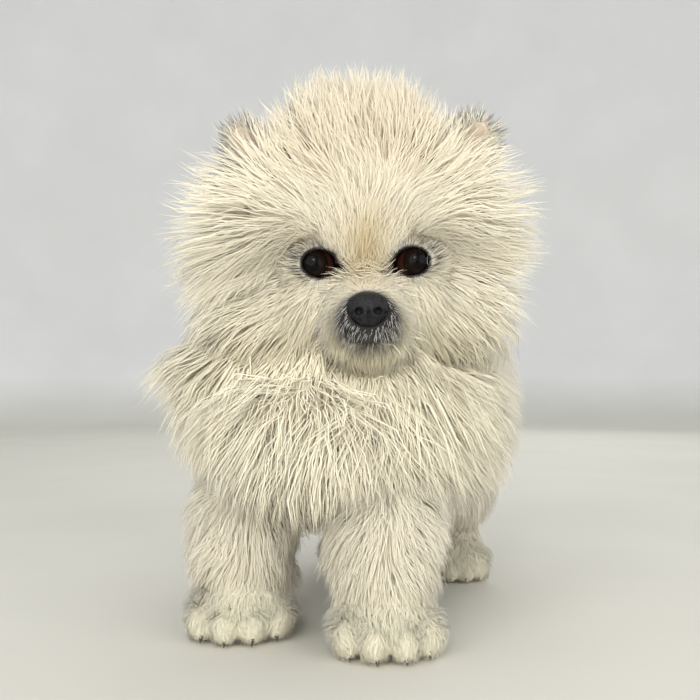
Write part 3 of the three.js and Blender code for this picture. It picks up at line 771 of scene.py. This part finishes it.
def finish_piece(piece, replaces=()):
    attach(piece, "root")
    if replaces:
        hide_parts(*replaces)


class Nodes:
    """A short way to write a material's nodes."""

    def __init__(self, name, roughness=0.5, sheen=0.0, specular=0.5):
        self.material = bpy.data.materials.new(name)
        self.material.use_nodes = True
        self.tree = self.material.node_tree
        self.shader = self.tree.nodes["Principled BSDF"]
        self.shader.inputs["Roughness"].default_value = roughness
        self.shader.inputs["Sheen Weight"].default_value = sheen
        self.shader.inputs["Specular IOR Level"].default_value = specular

    def add(self, kind, inputs=(), **settings):
        node = self.tree.nodes.new(kind)
        for key, value in settings.items():
            setattr(node, key, value)
        for key, value in dict(inputs).items():
            if isinstance(value, bpy.types.NodeSocket):
                self.tree.links.new(value, node.inputs[key])
            else:
                node.inputs[key].default_value = value
        return node

    def link(self, socket, name):
        self.tree.links.new(socket, self.shader.inputs[name])

    def noise(self, scale, detail=3.0, stretch=(1, 1, 1)):
        place = self.add("ShaderNodeTexCoord").outputs["Object"]
        mapped = self.add("ShaderNodeMapping", {"Vector": place, "Scale": stretch}).outputs[0]
        inputs = {"Vector": mapped, "Scale": scale, "Detail": detail}
        return self.add("ShaderNodeTexNoise", inputs).outputs["Fac"]

    def ramp(self, factor, stops):
        node = self.add("ShaderNodeValToRGB", {"Fac": factor})
        elements = node.color_ramp.elements
        while len(elements) < len(stops):
            elements.new(0.5)
        for element, (position, colour) in zip(elements, stops):
            element.position = position
            element.color = (*colour, 1)
        return node.outputs["Color"]

    def multiply(self, a, b):
        node = self.add("ShaderNodeMix", {}, data_type="RGBA", blend_type="MULTIPLY")
        node.inputs["Factor"].default_value = 1.0
        self.tree.links.new(a, node.inputs["A"])
        self.tree.links.new(b, node.inputs["B"])
        return node.outputs["Result"]

    def bump(self, height, strength, distance):
        node = self.add(
            "ShaderNodeBump", {"Height": height, "Strength": strength, "Distance": distance}
        )
        self.link(node.outputs["Normal"], "Normal")


def marked(nodes, low, high, scale):
    """Colour from the markings, varied by fine noise between two grey levels."""
    colour = nodes.add("ShaderNodeAttribute", attribute_name="Marking").outputs["Color"]
    fine = nodes.noise(scale)
    shade = nodes.ramp(fine, [(0.3, (low,) * 3), (0.7, (high,) * 3)])
    nodes.link(nodes.multiply(colour, shade), "Base Color")


def coat_material():
    nodes = Nodes("coat_hair", roughness=0.7, sheen=0.3, specular=0.1)
    marked(nodes, 0.95, 1.0, 160)
    return nodes.material


def skin_material():
    nodes = Nodes("skin", roughness=0.7, specular=0.3)
    marked(nodes, 0.9, 1.0, 900)
    nodes.bump(nodes.noise(2600, 4, (1, 1, 0.4)), 0.35, 0.0004)
    return nodes.material


def eye_material():
    nodes = Nodes("eye_dark", roughness=0.05, specular=0.08)
    place = nodes.add("ShaderNodeAttribute", attribute_name="Marking").outputs["Color"]
    streak = nodes.ramp(nodes.noise(1500, 4), [(0.35, (0.7,) * 3), (0.65, (1.0,) * 3)])
    nodes.link(nodes.multiply(place, streak), "Base Color")
    return nodes.material


def nose_material():
    nodes = Nodes("nose_leather", roughness=0.4, specular=0.16)
    greys = [(0.3, (0.009, 0.009, 0.010)), (0.7, (0.022, 0.022, 0.023))]
    nodes.link(nodes.ramp(nodes.noise(900, 4), greys), "Base Color")
    cells = nodes.add("ShaderNodeTexVoronoi", {"Scale": 1700.0})
    place = nodes.add("ShaderNodeTexCoord").outputs["Object"]
    nodes.tree.links.new(place, cells.inputs["Vector"])
    nodes.bump(cells.outputs["Distance"], 0.5, 0.00035)
    rough = nodes.ramp(nodes.noise(500), [(0.3, (0.34,) * 3), (0.7, (0.52,) * 3)])
    nodes.link(rough, "Roughness")
    return nodes.material


def claw_material():
    nodes = Nodes("claw_horn", roughness=0.35)
    tone = nodes.ramp(
        nodes.noise(700, 3, (1, 1, 0.3)), [(0.3, (0.02, 0.017, 0.015)), (0.75, (0.075, 0.062, 0.05))]
    )
    nodes.link(tone, "Base Color")
    nodes.bump(nodes.noise(2400, 2, (1, 0.2, 1)), 0.3, 0.0002)
    return nodes.material


COAT = coat_material()

# Skin: the body's surface and the two ears, joined into one closed surface
def joined(first, others):
    """The union of closed pieces, as the first piece's new mesh."""
    others_kept = bpy.data.collections.new("joined")
    for other in others:
        others_kept.objects.link(other)
    change = first.modifiers.new("join", "BOOLEAN")
    change.operation = "UNION"
    change.operand_type = "COLLECTION"
    change.collection = others_kept
    change.solver = "MANIFOLD"
    bpy.context.view_layer.update()
    whole = first.evaluated_get(bpy.context.evaluated_depsgraph_get())
    first.data = bpy.data.meshes.new_from_object(whole)
    first.modifiers.clear()
    first.data.materials.clear()
    for other in others:
        bpy.data.objects.remove(other)
    bpy.data.collections.remove(others_kept)
    first.data.shade_smooth()


skin = mesh_object("skin", *surface_nets(skin_field()))
joined(skin, [mesh_object("flap", *ear_mesh(tube)) for tube in EARS.values()])


def read(collection, key, width, kind=np.float32):
    values = np.empty(len(collection) * width, kind)
    collection.foreach_get(key, values)
    return values.reshape(-1, width)


points = read(skin.data.vertices, "co", 3).astype(float) * 1000 + SHIFT
skin_colour = skin.data.attributes.new("Marking", "FLOAT_COLOR", "POINT")
SKIN_SHADE = 0.92  # the undercoat is a little darker than the hairs
tones = np.concatenate([markings(points) * SKIN_SHADE, np.ones((len(points), 1))], axis=1)
skin_colour.data.foreach_set("color", tones.astype(np.float32).ravel())
skin.data.materials.append(skin_material())


def unwrap(piece):
    """Unwraps the piece's own shape into the map that the coat shares."""
    layer = piece.data.uv_layers.new(name="OFBake")
    piece.data.uv_layers.active = layer
    bpy.context.view_layer.objects.active = piece
    piece.select_set(True)
    bpy.ops.object.mode_set(mode="EDIT")
    bpy.ops.mesh.select_all(action="SELECT")
    bpy.ops.uv.smart_project(angle_limit=math.radians(66), island_margin=0.002)
    bpy.ops.object.mode_set(mode="OBJECT")
    piece.select_set(False)


unwrap(skin)
FLESH = [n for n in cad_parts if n.split("_")[0] in ("head", "ear", "neck", "torso", "tail")]
FLESH += [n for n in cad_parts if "_leg_" in n or "_paw_" in n]
finish_piece(skin, FLESH)

# Roots of the hairs: spread over the skin's triangles by the wanted density
normals = read(skin.data.vertices, "normal", 3).astype(float)
skin.data.calc_loop_triangles()
triangles = read(skin.data.loop_triangles, "vertices", 3, np.int32)
corners = read(skin.data.loop_triangles, "loops", 3, np.int32)
tri_uv = read(skin.data.uv_layers["OFBake"].data, "uv", 2)[corners]
order = np.argsort(points[triangles[:, 0]] @ [0.02, 0.03, 1.0], kind="stable")
triangles, tri_uv = triangles[order], tri_uv[order]
fields = coat_fields(points, normals)


def hair_grows(p):
    """1 where hair may grow, 0 on the eyes, lid rims, nose, lips and soles."""
    q = to_head(p)
    allowed = np.ones(len(p))
    for s in (1, -1):
        allowed *= (lid_distance(q, s) > 0.5) | (q[:, 1] > -14)
    allowed *= np.linalg.norm((q - NOSE_PLACE) / NOSE_BARE, axis=1) > 1
    allowed *= polyline_distance(q, mouth_line(9)) > 1.6
    allowed *= p[:, 2] > 1.0
    return allowed


def sample_roots(count):
    """Places for hairs, with the skin's fields there; fewer than count, as some are bare."""
    corner = points[triangles]
    doubled = np.cross(corner[:, 1] - corner[:, 0], corner[:, 2] - corner[:, 0])
    area = 0.5 * np.linalg.norm(doubled, axis=1)
    weight = area * fields["density"][triangles].mean(1)
    total = np.cumsum(weight)
    pick = np.searchsorted(total, (np.arange(count) + rng.random(count)) / count * total[-1])
    a = rng.random((count, 2))
    a = np.where(a.sum(1, keepdims=True) > 1, 1 - a, a)
    share = np.stack([1 - a.sum(1), a[:, 0], a[:, 1]], axis=1)

    def mixed(values):
        weights = share.reshape(share.shape + (1,) * (values.ndim - 1))
        return (values[triangles[pick]] * weights).sum(1)

    roots = {
        "place": mixed(points),
        "normal": unit(mixed(normals)),
        "lie": unit(mixed(fields["lie"])),
        "uv": (tri_uv[pick] * share[..., None]).sum(1),
        "region": fields["region"][triangles[pick, 0]],
    }
    for key in ("depth", "reach", "clump"):
        roots[key] = mixed(fields[key])
    keep = hair_grows(roots["place"]) > 0
    return {key: value[keep] for key, value in roots.items()}


def waves(p, scale, count=3):
    """Smooth pseudo-random vectors over space, for locks that lean together."""
    out = np.zeros((len(p), count))
    for _ in range(5):
        way = unit(rng.normal(size=(count, 3))) / scale * rng.uniform(0.6, 1.6)
        out += np.sin(p @ way.T * 2 * np.pi + rng.random(count) * 6.28) * 0.45
    return out


SHARES = np.array([0.0, 0.36, 0.7, 1.0])  # where a hair's rings stand along it
PROUD = 6.0  # how far a hair may stand out past the solids' box
OWN_NORMAL = 0.25  # share of a hair's own normal; the rest is the skin's, for soft shading
PATCH_SIZE = 0.0015  # of a hair's patch on the shared map
HAIR_WIDTH, WIDTH_BY_DEPTH = 0.16, 0.014
GUIDE_EVERY = 15  # hairs to one guide
GREY_SHARE, GREY_BELOW = 0.42, 0.25  # of the hairs where the markings are darker than this
ROOT_TINT, TIP_TINT, BRIGHTEST = [0.97, 0.95, 0.9], 1.03, 0.97


def hair_lines(roots):
    """Four points along each hair, (count, 4, 3)."""
    count = len(roots["place"])
    depth, normal = roots["depth"], roots["normal"]
    lean = waves(roots["place"], 26) * 0.28 + waves(roots["place"], 9) * 0.16
    lean += rng.normal(size=(count, 3)) * 0.2
    lie = tangent(roots["lie"] + lean, normal)
    length = rng.uniform(0.62, 1.0, count) ** 0.7 * (1 + 0.06 * waves(roots["place"], 14, 1)[:, 0])
    rise = depth * length
    reach = depth * roots["reach"] * length
    across = np.cross(normal, lie)
    sway = rng.normal(size=count) * 0.1
    s = SHARES[None, :, None]
    line = roots["place"][:, None, :] - normal[:, None, :] * 0.5
    line = line + normal[:, None, :] * (rise[:, None, None] * (1 - (1 - s) ** 1.6))
    line = line + lie[:, None, :] * (reach[:, None, None] * s**1.4)
    line = line + across[:, None, :] * ((sway * rise)[:, None, None] * s * s)
    droop = 0.1 * smooth(6, 30, depth) * rise
    line[..., 2] -= droop[:, None] * SHARES[None] ** 2
    wave = waves(roots["place"], 11) * 0.035 + rng.normal(size=(count, 3)) * 0.025
    wave *= depth[:, None]
    line[:, 1] += 0.6 * wave
    line[:, 2] -= wave
    line[..., 2] = np.maximum(line[..., 2], FLOOR_GAP)
    return line


def gather(line, roots, every):
    """Draws the tips of neighbouring hairs together towards a shared guide."""
    guides = np.arange(0, len(line), every)
    tree = KDTree(len(guides))
    for k, g in enumerate(guides):
        tree.insert(Vector(roots["place"][g]), k)
    tree.balance()
    near = np.array([guides[tree.find(Vector(p))[1]] for p in roots["place"]])
    pull = roots["clump"][:, None, None] * (SHARES**1.3)[None, :, None]
    same = (roots["region"] == roots["region"][near])[:, None, None]
    return line + np.where(same, pull * (line[near] - line), 0)


def kept_in(line):
    """Shortens the few hairs that would stand out too far past the solids' box."""
    low = np.array(CAD_BOX[0]) * 1000 + SHIFT - PROUD
    high = np.array(CAD_BOX[1]) * 1000 + SHIFT + PROUD
    root, way = line[:, 0], line[:, 3] - line[:, 0]
    room = np.where(way > 0, high - root, root - low) / np.maximum(np.abs(way), 1e-6)
    share = np.clip(room.min(axis=1), 0.05, 1)[:, None, None]
    return root[:, None, :] + (line - root[:, None, :]) * share


def hairs(name, line, roots, width, colour, tip_colour):
    """Closed three-sided spindles along the given lines, as one piece."""
    count = len(line)
    roll = rng.uniform(0, 2 * np.pi, count)
    points = [line[:, 0]]
    for ring, thickness in ((1, 1.0), (2, 0.66)):
        along = unit(line[:, ring + 1] - line[:, ring - 1])
        side = unit(np.cross(roots["normal"], along) + 1e-6)
        up = np.cross(along, side)
        for k in range(3):
            a = roll + 2 * np.pi * k / 3
            offset = side * np.cos(a)[:, None] + up * np.sin(a)[:, None] * 0.75
            points.append(line[:, ring] + offset * (0.5 * width * thickness)[:, None])
    points.append(line[:, 3])
    vertices = np.stack(points, axis=1).reshape(-1, 3)
    pattern = []
    for k in range(3):
        m = (k + 1) % 3
        pattern += [(0, 1 + m, 1 + k)]
        pattern += [(1 + k, 1 + m, 4 + m), (1 + k, 4 + m, 4 + k)]
        pattern += [(4 + k, 4 + m, 7)]
    faces = (np.array(pattern)[None] + 8 * np.arange(count)[:, None, None]).reshape(-1, 3)
    share = np.repeat(SHARES, (1, 3, 3, 1))[None, :, None]
    shade = colour[:, None, :] * (1 - share) + tip_colour[:, None, :] * share
    piece = mesh_object(name, vertices, faces, {"Marking": shade.reshape(-1, 3)})
    own = read(piece.data.vertices, "normal", 3).reshape(count, 8, 3)
    soft = unit(own * OWN_NORMAL + roots["normal"][:, None, :])
    piece.data.normals_split_custom_set_from_vertices(soft.reshape(-1, 3))
    patch = np.array(
        [(0, -1), (-0.9, -0.3), (0, -0.3), (0.9, -0.3), (-0.9, 0.4), (0, 0.4), (0.9, 0.4), (0, 1)]
    )
    spots = np.clip(roots["uv"][:, None, :] + patch[None] * PATCH_SIZE, 0, 1).reshape(-1, 2)
    layer = piece.data.uv_layers.new(name="OFBake")
    layer.data.foreach_set("uv", spots[faces.ravel()].astype(np.float32).ravel())
    piece.data.materials.append(COAT)
    finish_piece(piece)


FULL_COAT, QUICK_COAT = 122000, 24000  # hairs
HAIRS = FULL_COAT
PIECE_LIMIT = 15500  # hairs in one piece, at 12 triangles each
roots = sample_roots(HAIRS)
lines = kept_in(gather(hair_lines(roots), roots, GUIDE_EVERY))
GROUPS = {
    "head": ["head"],
    "ears": ["ear_left", "ear_right"],
    "neck": ["neck"],
    "torso": ["torso"],
    "tail": ["tail"],
    "legs": ["leg_" + n for n in LEGS],
    "paws": ["paw_" + n for n in LEGS],
}
widen = math.sqrt(FULL_COAT / HAIRS)
for group, members in GROUPS.items():
    wanted = [fields["names"].index(m) for m in members]
    chosen = np.nonzero(np.isin(roots["region"], wanted))[0]
    heading = np.arctan2(*(roots["place"][chosen] - HEAD_CENTRE)[:, :2].T)
    chosen = chosen[np.argsort(heading, kind="stable")]
    parts = max(1, math.ceil(len(chosen) / PIECE_LIMIT))
    for k, part in enumerate(np.array_split(chosen, parts)):
        own = {key: value[part] for key, value in roots.items()}
        colour = markings(own["place"])
        tint = 1 + 0.05 * rng.normal(size=(len(part), 1))
        grey = (rng.random(len(part)) < GREY_SHARE) & (colour.mean(1) < GREY_BELOW)
        colour[grey] = GREY
        base = np.clip(colour * tint * ROOT_TINT, 0, BRIGHTEST)
        tip = np.clip(colour * tint * TIP_TINT, 0, BRIGHTEST)
        width = HAIR_WIDTH + WIDTH_BY_DEPTH * own["depth"]
        width = width * rng.uniform(0.7, 1.3, len(part)) * widen
        hairs(f"coat_{group}_{k + 1}", lines[part], own, width, base, tip)


# Eyes, nose and claws
def ball(centre, radius, turn, shape, columns=48, rows=32):
    """A closed round form about the turn's -y axis; shape(polar) scales the radius."""
    polar = np.linspace(0, np.pi, rows + 1)[1:-1]
    around = np.arange(columns) * 2 * np.pi / columns
    size = radius * shape(polar)
    out = (size * np.sin(polar))[:, None]
    ahead = np.broadcast_to((-size * np.cos(polar))[:, None], (rows - 1, columns))
    ring = np.stack([out * np.cos(around), ahead, out * np.sin(around)], axis=2).reshape(-1, 3)
    front = [0, -radius * shape(np.zeros(1))[0], 0]
    back = [0, radius * shape(np.full(1, np.pi))[0], 0]
    vertices = np.vstack([ring, [front], [back]]) @ turn.T + centre
    faces = []
    for r in range(rows - 2):
        for c in range(columns):
            n = (c + 1) % columns
            faces.append((r * columns + c, (r + 1) * columns + c, (r + 1) * columns + n))
            faces.append((r * columns + c, (r + 1) * columns + n, r * columns + n))
    tip, last = len(ring), (rows - 2) * columns
    for c in range(columns):
        n = (c + 1) % columns
        faces.append((tip, c, n))
        faces.append((tip + 1, last + n, last + c))
    return vertices, np.array(faces), np.repeat(polar, columns)


def bulge(polar):
    return 0.985 + 0.05 * np.exp(-((polar / 0.75) ** 4))


EYE = eye_material()
for s, name in ((1, "left"), (-1, "right")):
    turn = HEAD_TURN @ turn_z(s * 0.2)
    vertices, faces, polar = ball(eye_centre(s), EYE_RADIUS, turn, bulge)
    polar = np.append(polar, [0, np.pi])
    iris = smooth(0.42, 0.5, polar)[:, None]
    white = smooth(0.86, 0.98, polar)[:, None]
    colour = PUPIL * (1 - iris) + IRIS * iris
    colour = colour * (1 - white) + EYE_WHITE * white
    eye = mesh_object("eyeball_" + name, vertices, faces, {"Marking": colour})
    eye.data.materials.append(EYE)
    unwrap(eye)
    finish_piece(eye, ["eye_" + name])


def nose_mesh():
    """The nose leather, with two comma-shaped nostrils and the groove between them."""
    vertices, faces, _ = ball(np.zeros(3), 1.0, np.eye(3), np.ones_like, columns=96, rows=64)
    p = vertices * [7.3, 5.6, 6.6]
    p[:, 0] *= 1 + 0.10 * smooth(-6, 6, p[:, 2]) - 0.16 * smooth(0, -6.6, p[:, 2])
    front = smooth(1.0, -3.5, p[:, 1])
    for s in (1, -1):
        inner = np.hypot((p[:, 0] - s * 3.3) / 1.5, (p[:, 2] + 0.6) / 1.35)
        wing = np.hypot((p[:, 0] - s * 5.3) / 1.6, (p[:, 2] + 1.3) / 0.8)
        pit = np.maximum(1 - smooth(0.45, 1.15, inner), 0.45 * (1 - smooth(0.4, 1.2, wing)))
        p[:, 1] += 2.4 * pit * front
        rim = np.exp(-(((inner - 1.45) / 0.4) ** 2))
        p[:, 1] -= 0.35 * rim * front
    groove = np.exp(-((p[:, 0] / 0.45) ** 2)) * smooth(1.5, -1.5, p[:, 2])
    p[:, 1] += 0.8 * groove * front
    return (p + NOSE_PLACE) @ HEAD_TURN.T + HEAD_CENTRE, faces


nose = mesh_object("nose_leather", *nose_mesh())
nose.data.materials.append(nose_material())
unwrap(nose)
finish_piece(nose, ["nose"])

CLAW = claw_material()
for name, leg in LEGS.items():
    size = paw_size(leg[1])
    vertices, faces = [], []
    for x, y, r in TOES:
        root = paw_place(leg, x, y - 3.5 * size, 4.6)
        tip = paw_place(leg, x, y - (r + 3.2) * size, 1.2)
        bend = root * 0.4 + tip * 0.6 + [0, 0, 1.1]
        rows, columns = 10, 12
        for k in range(rows + 1):
            v = k / rows
            along = unit(2 * (1 - v) * (bend - root) + 2 * v * (tip - bend))
            side = unit(np.cross([0, 0, 1.0], along))
            up = np.cross(along, side)
            centre = (1 - v) ** 2 * root + 2 * v * (1 - v) * bend + v * v * tip
            half = 1.2 * max(0.04, (1 - v**2.2)) ** 0.8
            for a in np.arange(columns) * 2 * np.pi / columns:
                vertices.append(centre + side * half * math.cos(a) + up * 1.2 * half * math.sin(a))
        start = len(vertices) - (rows + 1) * columns
        for k in range(rows):
            for c in range(columns):
                n = (c + 1) % columns
                a, b = start + k * columns, start + (k + 1) * columns
                faces.append((a + c, b + c, b + n, a + n))
    claws = mesh_object("claws_" + name, np.array(vertices), np.array(faces))
    claws.data.materials.append(CLAW)
    unwrap(claws)
    side_name = name.replace("_", "_claw_")
    finish_piece(claws, [f"{side_name}_{k}" for k in range(1, 5)])


# Setting: a pale bowl of floor and wall, soft lights, and the camera
def studio():
    mesh = bpy.data.meshes.new("floor")
    sheet = bmesh.new()
    bend, radius, turns = 0.5, 1.6, 96
    profile = [(0.0, 0.0)] + [(radius * k / 6, 0.0) for k in range(1, 6)]
    for k in range(13):
        a = math.pi / 2 * k / 12
        profile.append((radius + bend * math.sin(a), bend * (1 - math.cos(a))))
    profile.append((radius + bend, 1.4))
    angles = np.arange(turns) * 2 * np.pi / turns
    rings = []
    for r, z in profile[1:]:
        rings.append([sheet.verts.new((r * math.cos(a), r * math.sin(a), z)) for a in angles])
    middle = sheet.verts.new((0, 0, 0))
    for c in range(turns):
        n = (c + 1) % turns
        sheet.faces.new((middle, rings[0][c], rings[0][n]))
        for inner, outer in zip(rings[:-1], rings[1:]):
            sheet.faces.new((inner[c], outer[c], outer[n], inner[n]))
    sheet.to_mesh(mesh)
    sheet.free()
    mesh.shade_smooth()
    floor = bpy.data.objects.new("floor", mesh)
    bpy.context.scene.collection.objects.link(floor)
    nodes = Nodes("floor_paint", roughness=0.75, specular=0.2)
    tone = nodes.ramp(nodes.noise(6, 2), [(0.3, (0.95,) * 3), (0.7, (1.0,) * 3)])
    place = nodes.add("ShaderNodeTexCoord").outputs["Object"]
    height = nodes.add("ShaderNodeSeparateXYZ", {"Vector": place}).outputs["Z"]
    paint = nodes.ramp(height, [(0.0, (0.66, 0.645, 0.575)), (0.12, (0.84, 0.84, 0.83))])
    nodes.link(nodes.multiply(paint, tone), "Base Color")
    floor.data.materials.append(nodes.material)


def light(name, place, aim, size, power, colour=(1, 1, 1)):
    data = bpy.data.lights.new(name, "AREA")
    data.shape = "DISK"
    data.size = size
    data.energy = power
    data.color = colour
    lamp = bpy.data.objects.new(name, data)
    lamp.location = place
    lamp.rotation_euler = (Vector(aim) - Vector(place)).to_track_quat("-Z", "Y").to_euler()
    bpy.context.scene.collection.objects.link(lamp)


studio()
light("key", (-0.45, -1.2, 0.6), (0, 0, 0.12), 1.4, 12)
light("fill", (0.9, -1.0, 0.4), (0, 0, 0.1), 1.3, 9)
light("back", (0.35, 1.1, 0.9), (0, 0, 0.12), 1.3, 5)
light("catch", (-0.1, -0.8, 0.5), (0, -0.05, 0.15), 0.16, 1.2)
scene = bpy.context.scene
world = bpy.data.worlds.new("studio")
scene.world = world
world.use_nodes = True
sky = world.node_tree.nodes["Background"].inputs
sky["Color"].default_value = (0.95, 0.97, 1.0, 1)
sky["Strength"].default_value = 0.68
scene.view_settings.view_transform = "Standard"

PICTURE, FOCAL, HORIZON = 700, 800, 36  # in pixels; the horizon's place is from the middle
SENSOR = 36
camera = bpy.data.cameras.new("camera")
camera.sensor_width = SENSOR
camera.lens = SENSOR * FOCAL / PICTURE
camera.shift_y = HORIZON / PICTURE
camera.clip_start = 0.01
eye_point = bpy.data.objects.new("camera", camera)
eye_point.location = to_metres([0, -345, 99])
eye_point.rotation_euler = (math.pi / 2, 0, 0)
scene.collection.objects.link(eye_point)
scene.camera = eye_point
